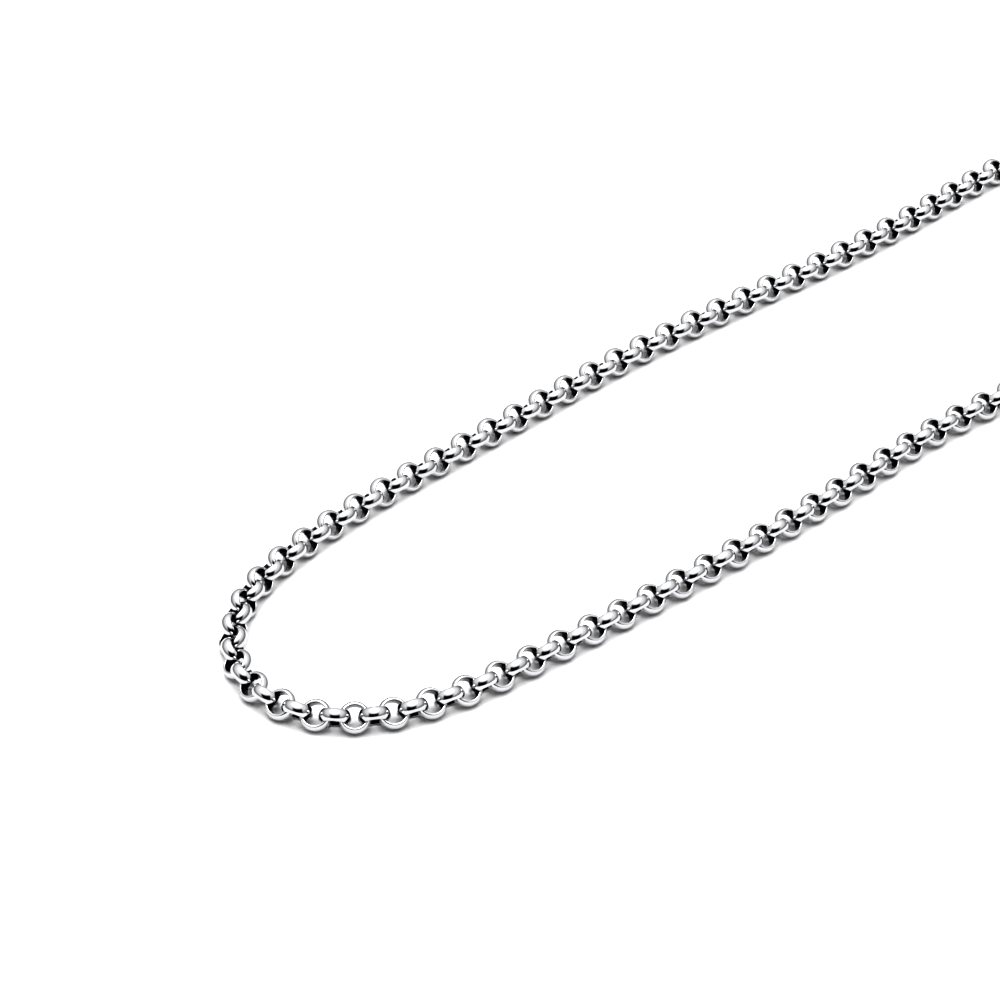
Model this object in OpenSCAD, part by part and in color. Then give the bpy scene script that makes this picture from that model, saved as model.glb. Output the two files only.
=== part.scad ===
// A round-link belcher neck chain lying on a surface as one closed loop.
// Length in X, the strands side by side in Y, and the surface at Z = 0.
// Every link is a loose closed ring that passes through its two neighbours.

/* [Link] */
// Outside diameter of one round link
link_d = 3.18; // [3.16:0.01:3.19]
// Thickness of the band at its middle
band_t = 0.45; // [0.44:0.01:0.46]
// Width of the band along the link's own axis
band_w = 1.3; // [1.28:0.01:1.31]
// How far the outside of the band slopes in to each edge
outer_rise = 0.28; // [0.27:0.01:0.29]
// How far the inside of the band slopes out to each edge
inner_rise = 0.14; // [0.13:0.01:0.15]

/* [Lie] */
// Distance between the centres of two neighbouring links
pitch = 1.9; // [1.88:0.01:1.91]
// Height in degrees at which the outward-facing links look up from the surface
lean_out = 54; // [54:0.5:54.5]
// Height in degrees at which the inward-facing links look up from the surface
lean_in = 52; // [51.5:0.5:52]
// Height at which the outward-facing links are carried by their neighbours
lift = 0.06; // [0.05:0.01:0.07]
// Distance from the front link's centre to the last link's centre, along X
loop_l = 203.4; // [203:0.1:203.8]
// Links in the hidden straight run of the far strand
far_run = 37; // [37:2:37]
// Links in the hidden straight run of the near strand
near_run = 55; // [55:2:55]
// Links in each rounded corner at the clasp end
corner_links = 8; // [8:2:8]
// Place of the clasp's middle across the loop, from the front link's centre
clasp_y = 3; // [2:0.5:4]

/* [Clasp and rings] */
// Wire of the jump ring and the end ring
ring_wire = 0.6; // [0.5:0.05:0.6]
// Inside diameter of the jump ring and the end ring
ring_bore = 3.0; // [3:0.05:3.1]
// Distance from a strand's last link to its ring, centre to centre
link_to_ring = 2.2; // [2.15:0.05:2.2]
// Distance from the jump ring's centre to the clasp's eye
ring_to_eye = 1.7; // [1.6:0.05:1.75]
// Distance that the end ring's centre lies past the hook's inner end
ring_past_hook = 0.75; // [0.7:0.05:0.8]
// Hole of the clasp's eye
eye_bore = 2.3; // [2.2:0.1:2.4]
// Outside diameter of the clasp's eye
eye_d = 3.8; // [3.7:0.1:3.9]
// Outside diameter of the clasp's head
head_d = 6.0; // [5.8:0.1:6.4]
// Wall between the hook's opening and the clasp's outside
hook_wall = 1.0; // [0.9:0.1:1]
// Distance from the eye's centre to the head's centre
head_y = 6.8; // [6.6:0.1:7.2]
// Place of the clasp along the loop, from the last links' centres
clasp_x = -0.2; // [-0.25:0.05:-0.15]
// Thickness of the clasp's eye and hook
plate_t = 1.1; // [1:0.05:1.1]
// Thickness of the clasp's body, where it rests on the surface
body_t = 3.0; // [3:0.1:3.2]
// Diameter of the lever's thumb tab
tab_d = 1.8; // [1.6:0.1:2]

/* [Hidden] */
steel = [0.80, 0.81, 0.83];

// Corners of the band's section above its middle, from its flat outer middle to
// its flat inner middle, as [distance from the link's axis, height along the axis]
link_r = link_d / 2;
half_w = band_w / 2;
bore_r = link_r - band_t;
outer_half = [[link_r, 0.4 * half_w], [link_r - outer_rise, half_w]];
inner_half = [[bore_r + inner_rise, half_w], [bore_r, 0.3 * half_w]];
function below(corners) = [for (i = [len(corners) - 1 : -1 : 0]) [corners[i][0], -corners[i][1]]];
section = concat(outer_half, inner_half, below(inner_half), below(outer_half));

// How far a link reaches from its centre along a direction, from the share of
// that direction that lies along the link's axis
function reach(along) = max([for (at = outer_half)
    at[0] * sqrt(1 - along * along) + at[1] * abs(along)]);

// The lie of each strand from the front link, traced from the object as it lies.
// Column names: links in the stretch, heading at its end in degrees away from
// the loop's length, and pitch
LINKS = 0;
HEADING = 1;
PITCH = 2;
front_heading = 86;
far_lie = [
    [3, 60.5, pitch],
    [3, 40, pitch],
    [3, 22.5, pitch],
    [3, 14, pitch],
    [3, 9, pitch],
    [6, 4, pitch],
    [12, 4.5, pitch],
    [9, 0, pitch],
    [9, -1.5, pitch],
    [12, 5, pitch],
    [6, 2.5, pitch]
];
near_lie = [
    [3, 65, 1.86],
    [3, 36, 1.84],
    [3, 17, 1.84],
    [3, 7.5, pitch],
    [3, 1.5, pitch],
    [12, 0, pitch],
    [15, -6, pitch],
    [9, 4, pitch]
];
corner = [[corner_links, -90, 1.86]];

// Steps of a lie as [heading at the link before, heading at the link after, pitch]
function steps(lie, heading) = [
    for (row = 0, h = heading; row < len(lie); h = lie[row][HEADING], row = row + 1)
        for (i = [0 : lie[row][LINKS] - 1])
            let (turn = (lie[row][HEADING] - h) / lie[row][LINKS])
                [h + turn * i, h + turn * (i + 1), lie[row][PITCH]]
];

// Links that follow those steps from a first one, each as [x, y, heading]
function walk(first, path) = [
    for (i = 0, x = first[0], y = first[1], h = first[2]; i <= len(path);
        x = i < len(path) ? x + path[i][2] * cos((path[i][0] + path[i][1]) / 2) : x,
        y = i < len(path) ? y + path[i][2] * sin((path[i][0] + path[i][1]) / 2) : y,
        h = i < len(path) ? path[i][1] : h,
        i = i + 1)
        [x, y, h]
];
function last(list) = list[len(list) - 1];
function tail(list) = [for (i = [1 : len(list) - 1]) list[i]];

// Half of the stretch that the rings and the clasp take between the last links
hook_end_y = head_y + head_d / 2 - hook_wall;
clasp_half = (2 * link_to_ring + ring_to_eye + hook_end_y + ring_past_hook) / 2;
corner_size = last(walk([0, 0, 0], steps(corner, 0)));

// A strand: its traced lie, a straight hidden run to the corner, and the corner.
// Y and headings count away from the loop's middle line
function strand(lie, heading, run, middle) = let (
    lying = walk([0, 0, heading], steps(lie, heading)),
    from = last(lying),
    to = [loop_l - corner_size[0], clasp_half - corner_size[1] + middle],
    slope = atan2(to[1] - from[1], to[0] - from[0]),
    run_pitch = norm([to[0] - from[0], to[1] - from[1]]) / run,
    straight = walk([from[0], from[1], slope], steps([[run, slope, run_pitch]], slope)),
    turned = walk([to[0], to[1], 0], steps(corner, 0))
) concat(lying, tail(straight), tail(turned));

far_strand = strand(far_lie, front_heading, far_run, clasp_y);
near_strand = strand(near_lie, 180 - front_heading, near_run, -clasp_y);

// Axis of a link: neighbours lean by turns outward and inward, nearly square to
// each other. The tilt is from upright toward the outside of the loop
function tilt(i) = i % 2 == 0 ? 90 - lean_out : -lean_in;
function outward(at, side) = [-sin(at[2]), side * cos(at[2])];
function rest_z(i) = reach(cos(tilt(i))) + (i % 2 == 0 ? lift : 0);

// Box of the loop, to put the origin under its middle
front_x = min([for (i = [0 : 10])
    far_strand[i][0] - reach(sin(tilt(i)) * outward(far_strand[i], 1)[0])]);
back_x = loop_l + clasp_x + (head_d + tab_d) / 2;
far_y = max([for (i = [0 : len(far_strand) - 1])
    far_strand[i][1] + reach(sin(tilt(i)) * outward(far_strand[i], 1)[1])]);
near_y = -max([for (i = [0 : len(near_strand) - 1])
    near_strand[i][1] + reach(sin(tilt(i)) * outward(near_strand[i], 1)[1])]);
middle_x = (front_x + back_x) / 2;
middle_y = (far_y + near_y) / 2;

// Rings lean as the next link of the chain would
ring_r = (ring_bore + ring_wire) / 2;
ring_z = ring_r * sin(lean_in) + ring_wire / 2;
eye_y = clasp_y + clasp_half - link_to_ring - ring_to_eye;
clasp_z = body_t / 2;

// Narrow end of the hook's opening, and the end of the thick body
slot_y = head_y - 2;
slot_r = head_d / 2 - hook_wall - 0.9;
body_end = head_y - 0.5;

module link() {
    rotate_extrude($fn = 48)
        polygon(section);
}

// Links of a strand from number first on, on the given side of the loop
module links(strand, side, first) {
    for (i = [first : len(strand) - 1])
        let (at = strand[i], out = outward(at, side))
            translate([at[0] - middle_x, side * at[1] - middle_y, rest_z(i)])
                rotate([0, tilt(i), atan2(out[1], out[0])])
                    link();
}

module ring(y) {
    translate([loop_l - middle_x, y - middle_y, ring_z])
        rotate([0, -lean_in, 0])
            rotate_extrude($fn = 48)
                translate([ring_r, 0])
                    circle(d = ring_wire, $fn = 32);
}

// Two round ends on the Y axis, joined by their common tangents
module tapered(y1, r1, y2, r2) {
    slant = asin((r1 - r2) / (y2 - y1));
    translate([0, y1])
        circle(r = r1, $fn = 48);
    translate([0, y2])
        circle(r = r2, $fn = 48);
    polygon([
        [r1 * cos(slant), y1 + r1 * sin(slant)],
        [r2 * cos(slant), y2 + r2 * sin(slant)],
        [-r2 * cos(slant), y2 + r2 * sin(slant)],
        [-r1 * cos(slant), y1 + r1 * sin(slant)]
    ]);
}

module clasp_outline() {
    difference() {
        union() {
            tapered(0, eye_d / 2, head_y, head_d / 2);
            translate([-head_d / 2, slot_y])
                circle(d = tab_d, $fn = 32);
        }
        circle(d = eye_bore, $fn = 48);
        tapered(slot_y, slot_r, head_y, head_d / 2 - hook_wall);
    }
}

module chain_far() {
    color(steel)
        links(far_strand, 1, 0);
}

module chain_near() {
    color(steel)
        links(near_strand, -1, 1);
}

module jump_ring() {
    color(steel)
        ring(clasp_y + clasp_half - link_to_ring);
}

module end_ring() {
    color(steel)
        ring(clasp_y - clasp_half + link_to_ring);
}

module lobster_clasp() {
    color(steel)
        translate([loop_l + clasp_x - middle_x, eye_y - middle_y, clasp_z])
            rotate([0, 0, 180]) {
                linear_extrude(height = plate_t, center = true)
                    clasp_outline();
                linear_extrude(height = body_t, center = true)
                    intersection() {
                        clasp_outline();
                        translate([-head_d, eye_d / 2])
                            square([2 * head_d, body_end - eye_d / 2]);
                    }
            }
}

chain_far();
chain_near();
jump_ring();
lobster_clasp();
end_ring();
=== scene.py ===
import math

import bmesh
import bpy
from bpy.props import FloatProperty, FloatVectorProperty, PointerProperty
from mathutils import Matrix, Vector


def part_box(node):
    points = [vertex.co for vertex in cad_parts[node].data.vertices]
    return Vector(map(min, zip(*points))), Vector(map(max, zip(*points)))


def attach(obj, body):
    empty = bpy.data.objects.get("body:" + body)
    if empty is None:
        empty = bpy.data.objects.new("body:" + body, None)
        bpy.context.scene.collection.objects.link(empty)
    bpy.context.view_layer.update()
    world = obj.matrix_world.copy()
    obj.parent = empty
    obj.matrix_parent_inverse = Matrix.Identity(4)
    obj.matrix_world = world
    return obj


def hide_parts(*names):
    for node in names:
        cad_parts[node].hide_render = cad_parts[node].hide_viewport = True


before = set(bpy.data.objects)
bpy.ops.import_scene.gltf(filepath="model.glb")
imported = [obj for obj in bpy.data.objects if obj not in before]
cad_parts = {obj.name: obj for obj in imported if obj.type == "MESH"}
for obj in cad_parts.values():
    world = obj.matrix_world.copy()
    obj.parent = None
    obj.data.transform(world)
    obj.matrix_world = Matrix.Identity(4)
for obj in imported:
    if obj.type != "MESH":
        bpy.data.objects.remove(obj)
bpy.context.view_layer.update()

bl_info = {
    "name": "Round-link neck chain",
    "version": (1, 0, 0),
    "blender": (4, 5, 0),
    "location": "3D View > Sidebar > Neck chain",
    "description": "Polished belcher chain that lies on a pale surface as one closed loop",
    "category": "Object",
}

MM = 0.001
DEGREE = math.radians(1)

# Lie of the two strands from the front link, as in the part's source. Each row is the
# links in the stretch, the heading in degrees at its end, and the pitch in millimetres
FRONT_HEADING = 86
FAR_LIE = (
    (3, 60.5, 1.9), (3, 40, 1.9), (3, 22.5, 1.9), (3, 14, 1.9), (3, 9, 1.9), (6, 4, 1.9),
    (12, 4.5, 1.9), (9, 0, 1.9), (9, -1.5, 1.9), (12, 5, 1.9), (6, 2.5, 1.9),
)
NEAR_LIE = (
    (3, 65, 1.86), (3, 36, 1.84), (3, 17, 1.84), (3, 7.5, 1.9), (3, 1.5, 1.9),
    (12, 0, 1.9), (15, -6, 1.9), (9, 4, 1.9),
)
CORNER = ((8, -90, 1.86),)
# Links in each strand's hidden straight run, the length from the front link's centre to
# the last links', and the place of the clasp's middle across the loop
FAR_RUN = 37
NEAR_RUN = 55
LOOP_LENGTH = 203.4
CLASP_Y = 3.0

# The clasp's stretch of the loop, in millimetres. Its half reaches from the clasp's
# middle to a strand's last link
LINK_TO_RING = 2.2
RING_TO_EYE = 1.7
EYE_TO_HOOK_END = 8.8
HOOK_END_TO_RING = 0.75
CLASP_HALF = (2 * LINK_TO_RING + RING_TO_EYE + EYE_TO_HOOK_END + HOOK_END_TO_RING) / 2

# A link starts as a hoop with few sides, which the finishing subdivision rounds
HOOP_SIDES = 9
BAND_CORNERS = 6
SMOOTHING_LEVELS = 2
# What the subdivision leaves of the hoop's radius, and of the dome's rise at its crown
HOOP_LEFT = 0.9265
CROWN_LEFT = 0.96875
# Half width of the crown's flat, as a share of the band's half width
CROWN_FLAT = 0.5
EDGE_CREASE = 0.9

# Faint clouds in the steel, and the relief that they give its polish
CLOUD_SCALE = 260.0
CLOUD_TONE = 0.94
CLOUD_RELIEF = 0.05
CLOUD_DEPTH = 0.02 * MM
# Fine wipe marks in it, and how far they spread its roughness
WIPE_SCALE = 2200.0
WIPE_SPREAD = 0.06

# Tumbling of the clasp: its surface is made of even cells, then smoothed
MERGE_DISTANCE = 0.002 * MM
TUMBLE_CELL = 0.09 * MM
TUMBLE_STRENGTH = 0.5
TUMBLE_PASSES = 20
# The share of its height that keeps its flat sides inside the solid's
TUMBLE_HEIGHT = 0.999

# Camera from the front link's centre, and that centre's height, in millimetres
CAMERA_FROM_FRONT = (-137.5, -199.6, 198.74)
FRONT_LINK_HEIGHT = 1.36
# The way that the camera looks, in degrees
CAMERA_HEADING = 49.94
CAMERA_DOWN = 36.24
SENSOR_WIDTH = 36

# Side of the floor, in metres
FLOOR_SIZE = 4.0

# Brightness of the studio's sides, its wall straight away from the camera and its
# ceiling, and the share of it that is left low down
SIDE_WALLS = 0.8
BACK_WALL = 0.87
CEILING = 1.34
LOW_SHARE = 0.3
# Where they blend, in degrees turned from the camera's side or up from the horizon
BACK_WALL_TURN = (130, 178)
CEILING_RISE = (41, 80)
LOW_RISE = (5, 40)
# Height of the lamp, and where its soft rim starts and ends from its middle, in degrees
LAMP_HEIGHT = 86
LAMP_RIM = (30, 16)
# Soft edges of the shade on the camera's side, in degrees, and how it flares upwards
SHADE_FOOT = (-14, -2)
SHADE_TOP = (39, 51)
SHADE_HALF_WIDTH = (18, 34)
SHADE_FLARE = 0.53


def walk(first, lie):
    """Links that follow a lie from a first one, each as x, y, heading."""
    x, y, heading = first
    path = [first]
    for count, end, pitch in lie:
        turn = (end - heading) / count
        for _ in range(count):
            middle = math.radians(heading + turn / 2)
            x += pitch * math.cos(middle)
            y += pitch * math.sin(middle)
            heading += turn
            path.append((x, y, heading))
    return path


def strand(lie, heading, run, middle):
    """A strand's traced lie, a straight run to the corner, and the corner."""
    lying = walk((0.0, 0.0, heading), lie)
    corner_x, corner_y, _ = walk((0.0, 0.0, 0.0), CORNER)[-1]
    x, y, _ = lying[-1]
    to_x = LOOP_LENGTH - corner_x
    to_y = CLASP_HALF - corner_y + middle
    slope = math.degrees(math.atan2(to_y - y, to_x - x))
    pitch = math.hypot(to_x - x, to_y - y) / run
    straight = walk((x, y, slope), ((run, slope, pitch),))
    turned = walk((to_x, to_y, 0.0), CORNER)
    return lying + straight[1:] + turned[1:]


def loop_offset():
    """From the front link's frame to the row's, by the place of the jump ring."""
    low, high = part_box("jump_ring")
    ring_y = CLASP_Y + CLASP_HALF - LINK_TO_RING
    return (Vector(low) + Vector(high)) / 2 - Vector((LOOP_LENGTH * MM, ring_y * MM, 0))


def deselect():
    """Leave edit mode, with nothing selected."""
    if bpy.context.object and bpy.context.object.mode != "OBJECT":
        bpy.ops.object.mode_set(mode="OBJECT")
    bpy.ops.object.select_all(action="DESELECT")


def only(item):
    """Make one object the selected and active one."""
    deselect()
    item.select_set(True)
    bpy.context.view_layer.objects.active = item


def pick(test):
    """Select, in edit mode, the vertices whose place passes a test."""
    mesh = bpy.context.object.data
    shape = bmesh.from_edit_mesh(mesh)
    for vertex in shape.verts:
        vertex.select_set(test(vertex.co))
    shape.select_mode = {"VERT"}
    shape.select_flush_mode()
    bmesh.update_edit_mesh(mesh)


def on_circle(radius, height, near):
    """A test for places near a circle around the upright axis."""
    return lambda place: math.hypot(place.to_2d().length - radius, place.z - height) < near


def dress(piece, material):
    """Give a piece one material in place of its own."""
    piece.data.materials.clear()
    piece.data.materials.append(material)


class Value:
    """A shader socket that can be used in Python expressions."""

    def __init__(self, graph, socket):
        self.graph = graph
        self.socket = socket

    def maths(self, operation, *values):
        return self.graph.node("ShaderNodeMath", {"operation": operation}, enumerate(values))

    def __add__(self, other):
        return self.maths("ADD", self, other)

    __radd__ = __add__

    def __sub__(self, other):
        return self.maths("SUBTRACT", self, other)

    def __rsub__(self, other):
        return self.maths("SUBTRACT", other, self)

    def __mul__(self, other):
        return self.maths("MULTIPLY", self, other)

    __rmul__ = __mul__

    def __truediv__(self, other):
        return self.maths("DIVIDE", self, other)

    def __abs__(self):
        return self.maths("ABSOLUTE", self)

    def along(self, way):
        """How far a vector goes along a given way."""
        return self.graph.node(
            "ShaderNodeVectorMath", {"operation": "DOT_PRODUCT"}, ((0, self), (1, way)), 1)

    def rise(self, start, end):
        """From 0 at start to 1 at end, smoothly."""
        return self.graph.node(
            "ShaderNodeMapRange", {"interpolation_type": "SMOOTHSTEP"},
            {"Value": self, "From Min": start, "From Max": end}.items())


class Graph:
    """The nodes of one material or world."""

    def __init__(self, tree):
        self.tree = tree
        tree.nodes.clear()

    def node(self, kind, settings=None, inputs=(), output=0):
        """A node with its settings, then its inputs' values or links."""
        node = self.tree.nodes.new(kind)
        for name, setting in (settings or {}).items():
            setattr(node, name, setting)
        for key, value in inputs:
            if isinstance(value, Value):
                self.tree.links.new(value.socket, node.inputs[key])
            else:
                node.inputs[key].default_value = value
        return Value(self, node.outputs[output])

    def end(self, kind, shader):
        """The output node, fed by a shader."""
        node = self.tree.nodes.new(kind)
        self.tree.links.new(shader.socket, node.inputs["Surface"])


def steel(name, color, roughness):
    """Polished steel with the faint waviness and wipe marks of small links."""
    material = bpy.data.materials.new(name)
    material.use_nodes = True
    graph = Graph(material.node_tree)
    place = graph.node("ShaderNodeTexCoord", output="Object")
    cloud = graph.node("ShaderNodeTexNoise", None,
                       {"Vector": place, "Scale": CLOUD_SCALE, "Detail": 2.0}.items())
    wipe = graph.node("ShaderNodeTexNoise", None,
                      {"Vector": place, "Scale": WIPE_SCALE, "Detail": 3.0}.items())
    tone = graph.node("ShaderNodeMix", {"data_type": "RGBA"}, (
        (0, cloud.rise(0.3, 0.7)),
        (6, (*(CLOUD_TONE * part for part in color), 1)),
        (7, (*color, 1)),
    ), 2)
    relief = graph.node("ShaderNodeBump", None, {
        "Strength": CLOUD_RELIEF,
        "Distance": CLOUD_DEPTH,
        "Height": cloud,
    }.items())
    shader = graph.node("ShaderNodeBsdfPrincipled", None, {
        "Base Color": tone,
        "Metallic": 1.0,
        "Roughness": roughness + (wipe - 0.5) * WIPE_SPREAD,
        "Normal": relief,
    }.items())
    graph.end("ShaderNodeOutputMaterial", shader)
    return material


class ChainSettings(bpy.types.PropertyGroup):
    """Sizes and finish of the chain"""

    link_diameter: FloatProperty(
        name="Link diameter", description="Outside diameter of one round link",
        default=3.18 * MM, min=0.001, unit="LENGTH")
    band_thickness: FloatProperty(
        name="Band thickness", description="Thickness at the middle of the band",
        default=0.45 * MM, min=0.0001, unit="LENGTH")
    band_width: FloatProperty(
        name="Band width", description="Width of the band along the link's axis",
        default=1.25 * MM, min=0.0001, unit="LENGTH")
    dome_rise: FloatProperty(
        name="Dome", description="How far the band's edges lie inside its outermost line",
        default=0.28 * MM, min=0.0, unit="LENGTH")
    lean_out: FloatProperty(
        name="Outward lean", description="How high the outward-facing links look up",
        default=math.radians(53), unit="ROTATION")
    lean_in: FloatProperty(
        name="Inward lean", description="How high the inward-facing links look up",
        default=math.radians(51), unit="ROTATION")
    lift: FloatProperty(
        name="Lift", description="How far neighbours carry the outward-facing links",
        default=0.06 * MM, min=0.0, unit="LENGTH")
    steel_color: FloatVectorProperty(
        name="Steel", description="Colour of the polished steel",
        default=(0.59, 0.59, 0.6), min=0.0, max=1.0, subtype="COLOR")
    steel_roughness: FloatProperty(
        name="Roughness", description="Roughness of the polished steel",
        default=0.12, min=0.0, max=1.0, subtype="FACTOR")
    clasp_roughness: FloatProperty(
        name="Clasp roughness", description="Roughness of the tumbled clasp",
        default=0.25, min=0.0, max=1.0, subtype="FACTOR")
    # Painted shade: the inside of each link is coloured dark to stand in for the shade and
    # dark reflections that fall there
    inside_shade_color: FloatVectorProperty(
        name="Inside", description="Colour of the darker steel inside the links",
        default=(0.045, 0.045, 0.047), min=0.0, max=1.0, subtype="COLOR")
    inside_roughness: FloatProperty(
        name="Inside roughness", description="Roughness of the steel inside the links",
        default=0.25, min=0.0, max=1.0, subtype="FACTOR")


class StageSettings(bpy.types.PropertyGroup):
    """Floor, light and camera"""

    floor_color: FloatVectorProperty(
        name="Floor", description="Colour of the pale floor",
        default=(0.71, 0.71, 0.71), min=0.0, max=1.0, subtype="COLOR")
    studio_light: FloatProperty(
        name="Studio light", description="Brightness of the white studio all round",
        default=1.0, min=0.0)
    lamp: FloatProperty(
        name="Lamp", description="Brightness of the soft lamp overhead",
        default=4.0, min=0.0)
    exposure: FloatProperty(
        name="Exposure", description="Exposure of the photograph, in stops",
        default=0.3)
    lens: FloatProperty(
        name="Lens", description="Focal length on a sensor 36 mm wide",
        default=118.83, min=1.0, subtype="DISTANCE_CAMERA")


def make_link(settings):
    """One round link at the origin, its axis upright, with few faces.

    The inside of the band gets a darker steel, painted shade that stands in for the shade
    and dark reflections in the links' hollows."""
    half = settings.band_width / 2
    outer = settings.link_diameter / 2
    edge = outer - settings.dome_rise
    bore = outer - settings.band_thickness
    crown = edge + (outer - edge) / CROWN_LEFT
    flat = CROWN_FLAT * half
    # The torus starts far out. Each row of its six-sided tube, given by its place
    # across and up the tube, then goes to the radius and the height of one corner of
    # the band. All but the crown's two are creased
    start = 4 * outer
    tall = outer * math.sqrt(0.75)
    rows = (
        (outer, 0, crown, flat),
        (outer / 2, tall, edge, half),
        (-outer / 2, tall, bore, half),
        (-outer, 0, bore, -half),
        (-outer / 2, -tall, edge, -half),
        (outer / 2, -tall, crown, -flat),
    )
    deselect()
    bpy.ops.mesh.primitive_torus_add(
        major_segments=HOOP_SIDES, minor_segments=BAND_CORNERS,
        major_radius=start, minor_radius=outer)
    link = bpy.context.object
    bpy.ops.object.mode_set(mode="EDIT")
    for across, level, radius, height in rows:
        reach = start + across
        pick(on_circle(reach, level, outer / 10))
        size = radius / (reach * HOOP_LEFT)
        bpy.ops.transform.resize(value=(size, size, 1), center_override=(0, 0, 0))
        bpy.ops.transform.translate(value=(0, 0, height - level))
        if radius < crown:
            bpy.ops.transform.edge_crease(value=EDGE_CREASE)
    bpy.ops.object.mode_set(mode="OBJECT")
    bpy.ops.object.shade_smooth()
    link.data.materials.append(
        steel("chain_steel", settings.steel_color, settings.steel_roughness))
    # The second material is painted shade: darker steel for the shade inside the band
    link.data.materials.append(
        steel("chain_steel_painted_shade", settings.inside_shade_color, settings.inside_roughness))
    bpy.ops.object.mode_set(mode="EDIT")
    # The faces inside the band take the painted shade
    pick(lambda place: place.to_2d().length * HOOP_LEFT < (edge + bore) / 2)
    link.active_material_index = 1
    bpy.ops.object.material_slot_assign()
    bpy.ops.object.mode_set(mode="OBJECT")
    return link


def copied(item):
    """A copy of an object with a mesh of its own."""
    copy = item.copy()
    copy.data = item.data.copy()
    bpy.context.collection.objects.link(copy)
    return copy


def finish_band(piece):
    """Round the bands of the selected piece off."""
    bpy.ops.object.modifier_add(type="SUBSURF")
    round_off = piece.modifiers[-1]
    round_off.levels = SMOOTHING_LEVELS
    round_off.render_levels = SMOOTHING_LEVELS
    bpy.ops.object.modifier_apply(modifier=round_off.name)


def reaches(link, turns):
    """How far a finished link reaches below its centre at each turn."""
    sample = copied(link)
    only(sample)
    finish_band(sample)
    low = [-min((turn @ vertex.co).z for vertex in sample.data.vertices) for turn in turns]
    bpy.data.objects.remove(sample)
    return low


def make_strand(name, path, side, first, link, settings):
    """All links of a strand, from number first on, joined in one piece."""
    offset = loop_offset()
    tilts = [math.pi / 2 - settings.lean_out, -settings.lean_in]
    turns = [Matrix.Rotation(tilt, 4, "Y") for tilt in tilts]
    heights = reaches(link, turns)
    heights[0] += settings.lift
    links = []
    for number in range(first, len(path)):
        x, y, heading = path[number]
        way = math.radians(heading)
        outward = math.atan2(side * math.cos(way), -math.sin(way))
        place = (x * MM + offset.x, side * y * MM + offset.y, heights[number % 2])
        copy = copied(link)
        copy.matrix_world = (
            Matrix.Translation(place) @ Matrix.Rotation(outward, 4, "Z") @ turns[number % 2])
        links.append(copy)
    deselect()
    for copy in links:
        copy.select_set(True)
    bpy.context.view_layer.objects.active = links[0]
    bpy.ops.object.join()
    piece = bpy.context.object
    bpy.ops.object.transform_apply(location=True, rotation=True, scale=True)
    finish_band(piece)
    piece.name = name
    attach(piece, "root")
    return piece


class NECKCHAIN_OT_strands(bpy.types.Operator):
    """Model one link and lay both strands of the chain with it"""

    bl_idname = "neckchain.strands"
    bl_label = "Lay the strands"

    def execute(self, context):
        settings = context.scene.neck_chain
        link = make_link(settings)
        far = strand(FAR_LIE, FRONT_HEADING, FAR_RUN, CLASP_Y)
        near = strand(NEAR_LIE, 180 - FRONT_HEADING, NEAR_RUN, -CLASP_Y)
        for name, path, side, first in (("far", far, 1, 0), ("near", near, -1, 1)):
            piece = make_strand("links_" + name, path, side, first, link, settings)
            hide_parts("chain_" + name)
        bpy.data.objects.remove(link)
        return {"FINISHED"}


class NECKCHAIN_OT_clasp(bpy.types.Operator):
    """Round the clasp's edges as tumbling does, and polish it"""

    bl_idname = "neckchain.clasp"
    bl_label = "Finish the clasp"

    def execute(self, context):
        settings = context.scene.neck_chain
        piece = copied(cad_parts["lobster_clasp"])
        piece.name = "clasp"
        only(piece)
        bpy.ops.object.mode_set(mode="EDIT")
        bpy.ops.mesh.select_all(action="SELECT")
        bpy.ops.mesh.remove_doubles(threshold=MERGE_DISTANCE)
        bpy.ops.object.mode_set(mode="OBJECT")
        bpy.ops.object.modifier_add(type="REMESH")
        grid = piece.modifiers[-1]
        grid.mode = "VOXEL"
        grid.voxel_size = TUMBLE_CELL
        bpy.ops.object.modifier_apply(modifier=grid.name)
        bpy.ops.object.modifier_add(type="SMOOTH")
        tumble = piece.modifiers[-1]
        tumble.factor = TUMBLE_STRENGTH
        tumble.iterations = TUMBLE_PASSES
        bpy.ops.object.modifier_apply(modifier=tumble.name)
        low, high = (Vector(corner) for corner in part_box("lobster_clasp"))
        bpy.ops.object.mode_set(mode="EDIT")
        bpy.ops.mesh.select_all(action="SELECT")
        bpy.ops.transform.resize(
            value=(1, 1, TUMBLE_HEIGHT), center_override=(low + high) / 2)
        bpy.ops.object.mode_set(mode="OBJECT")
        bpy.ops.object.shade_smooth()
        dress(piece, steel("clasp_steel", settings.steel_color, settings.clasp_roughness))
        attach(piece, "root")
        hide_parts("lobster_clasp")
        return {"FINISHED"}


class NECKCHAIN_OT_rings(bpy.types.Operator):
    """Polish the jump ring and the end ring"""

    bl_idname = "neckchain.rings"
    bl_label = "Finish the rings"

    def execute(self, context):
        settings = context.scene.neck_chain
        material = steel("ring_steel", settings.steel_color, settings.steel_roughness)
        for name in ("jump_ring", "end_ring"):
            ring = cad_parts[name]
            for slot in ring.material_slots:
                slot.material = material
        return {"FINISHED"}


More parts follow.
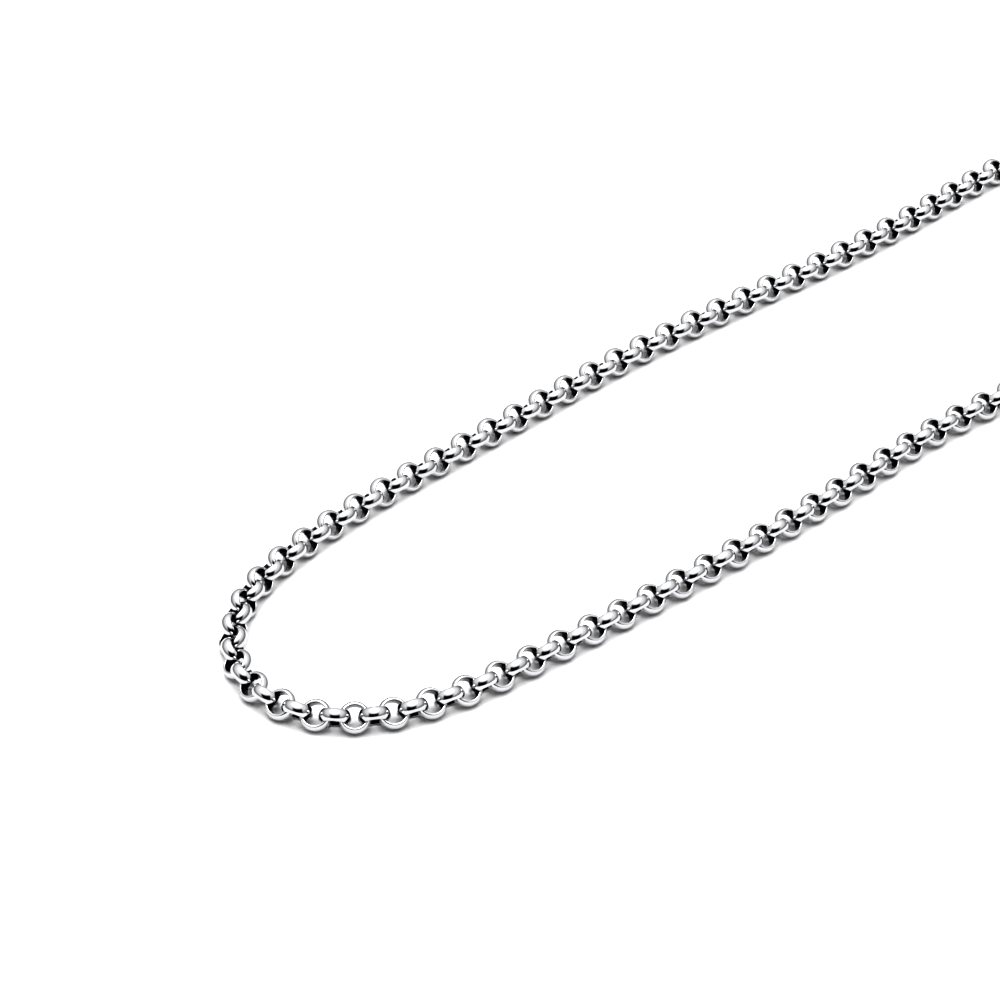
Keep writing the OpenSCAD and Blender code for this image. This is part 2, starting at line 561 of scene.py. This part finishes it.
class NECKCHAIN_OT_stage(bpy.types.Operator):
    """Lay the floor, light the studio and place the camera"""

    bl_idname = "neckchain.stage"
    bl_label = "Set the stage"

    def execute(self, context):
        stage = context.scene.neck_chain_stage
        self.lay_floor(stage)
        self.light(stage)
        self.place_camera(stage)
        context.scene.view_settings.view_transform = "Standard"
        context.scene.view_settings.look = "Very High Contrast"
        context.scene.view_settings.exposure = stage.exposure
        return {"FINISHED"}

    def lay_floor(self, stage):
        deselect()
        bpy.ops.mesh.primitive_plane_add(size=FLOOR_SIZE, location=(0, 0, 0))
        floor = bpy.context.object
        floor.name = "floor"
        material = bpy.data.materials.new("pale_floor")
        material.use_nodes = True
        graph = Graph(material.node_tree)
        shader = graph.node("ShaderNodeBsdfPrincipled", None, {
            "Base Color": (*stage.floor_color, 1),
            "Roughness": 0.9,
            "Specular IOR Level": 0.0,
        }.items())
        graph.end("ShaderNodeOutputMaterial", shader)
        dress(floor, material)

    def light(self, stage):
        """A white studio with a soft lamp overhead, grey at the sides and low down.

        The camera's own side is shaded, which draws the black bars on the links."""
        world = bpy.data.worlds.new("studio")
        world.use_nodes = True
        bpy.context.scene.world = world
        graph = Graph(world.node_tree)
        way = graph.node("ShaderNodeTexCoord", output="Generated")
        heading = math.radians(CAMERA_HEADING)
        forward = (math.cos(heading), math.sin(heading), 0)
        right = (math.sin(heading), -math.cos(heading), 0)
        height = graph.node("ShaderNodeSeparateXYZ", None, {"Vector": way}.items(), 2)
        up = height.maths("ARCSINE", height) / DEGREE
        side = way.along(right)
        # 0 on the camera's side and 180 straight away from it
        turned = abs(side.maths("ARCTAN2", side, 0 - way.along(forward))) / DEGREE
        walls = SIDE_WALLS + turned.rise(*BACK_WALL_TURN) * (BACK_WALL - SIDE_WALLS)
        ceiling = up.rise(*CEILING_RISE)
        level = walls * (1 - ceiling) + ceiling * CEILING
        level = level * (LOW_SHARE + up.rise(*LOW_RISE) * (1 - LOW_SHARE))
        lamp_away = math.cos(LAMP_HEIGHT * DEGREE)
        lamp_way = (
            lamp_away * forward[0], lamp_away * forward[1], math.sin(LAMP_HEIGHT * DEGREE))
        lamp = way.along(lamp_way).rise(*(math.cos(rim * DEGREE) for rim in LAMP_RIM))
        level = level + lamp * stage.lamp
        shade = up.rise(*SHADE_FOOT) * (1 - up.rise(*SHADE_TOP))
        shade = shade * (1 - (turned - up * SHADE_FLARE).rise(*SHADE_HALF_WIDTH))
        level = level * (1 - shade) * stage.studio_light
        shader = graph.node("ShaderNodeBackground", None, {"Strength": level}.items())
        graph.end("ShaderNodeOutputWorld", shader)

    def place_camera(self, stage):
        offset = loop_offset()
        away = Vector(CAMERA_FROM_FRONT) * MM
        height = FRONT_LINK_HEIGHT * MM
        deselect()
        bpy.ops.object.camera_add(
            location=(offset.x + away.x, offset.y + away.y, height + away.z),
            rotation=(math.radians(90 - CAMERA_DOWN), 0, math.radians(CAMERA_HEADING - 90)))
        camera = bpy.context.object
        camera.data.sensor_width = SENSOR_WIDTH
        camera.data.lens = stage.lens
        camera.data.clip_start = 0.01
        bpy.context.scene.camera = camera


class NECKCHAIN_PT_panel(bpy.types.Panel):
    """Sizes, finish and steps of the neck chain"""

    bl_idname = "NECKCHAIN_PT_panel"
    bl_label = "Neck chain"
    bl_space_type = "VIEW_3D"
    bl_region_type = "UI"
    bl_category = "Neck chain"

    def draw(self, context):
        layout = self.layout
        for settings in (context.scene.neck_chain, context.scene.neck_chain_stage):
            column = layout.column()
            for name in settings.__annotations__:
                column.prop(settings, name)
        for step in STEPS:
            layout.operator(step.bl_idname)


STEPS = (NECKCHAIN_OT_strands, NECKCHAIN_OT_clasp, NECKCHAIN_OT_rings, NECKCHAIN_OT_stage)
CLASSES = (ChainSettings, StageSettings) + STEPS + (NECKCHAIN_PT_panel,)


def register():
    for kind in CLASSES:
        bpy.utils.register_class(kind)
    bpy.types.Scene.neck_chain = PointerProperty(type=ChainSettings)
    bpy.types.Scene.neck_chain_stage = PointerProperty(type=StageSettings)


def unregister():
    del bpy.types.Scene.neck_chain_stage
    del bpy.types.Scene.neck_chain
    for kind in reversed(CLASSES):
        bpy.utils.unregister_class(kind)


def main():
    register()
    bpy.ops.neckchain.strands()
    bpy.ops.neckchain.clasp()
    bpy.ops.neckchain.rings()
    bpy.ops.neckchain.stage()


if __name__ == "__main__":
    main()
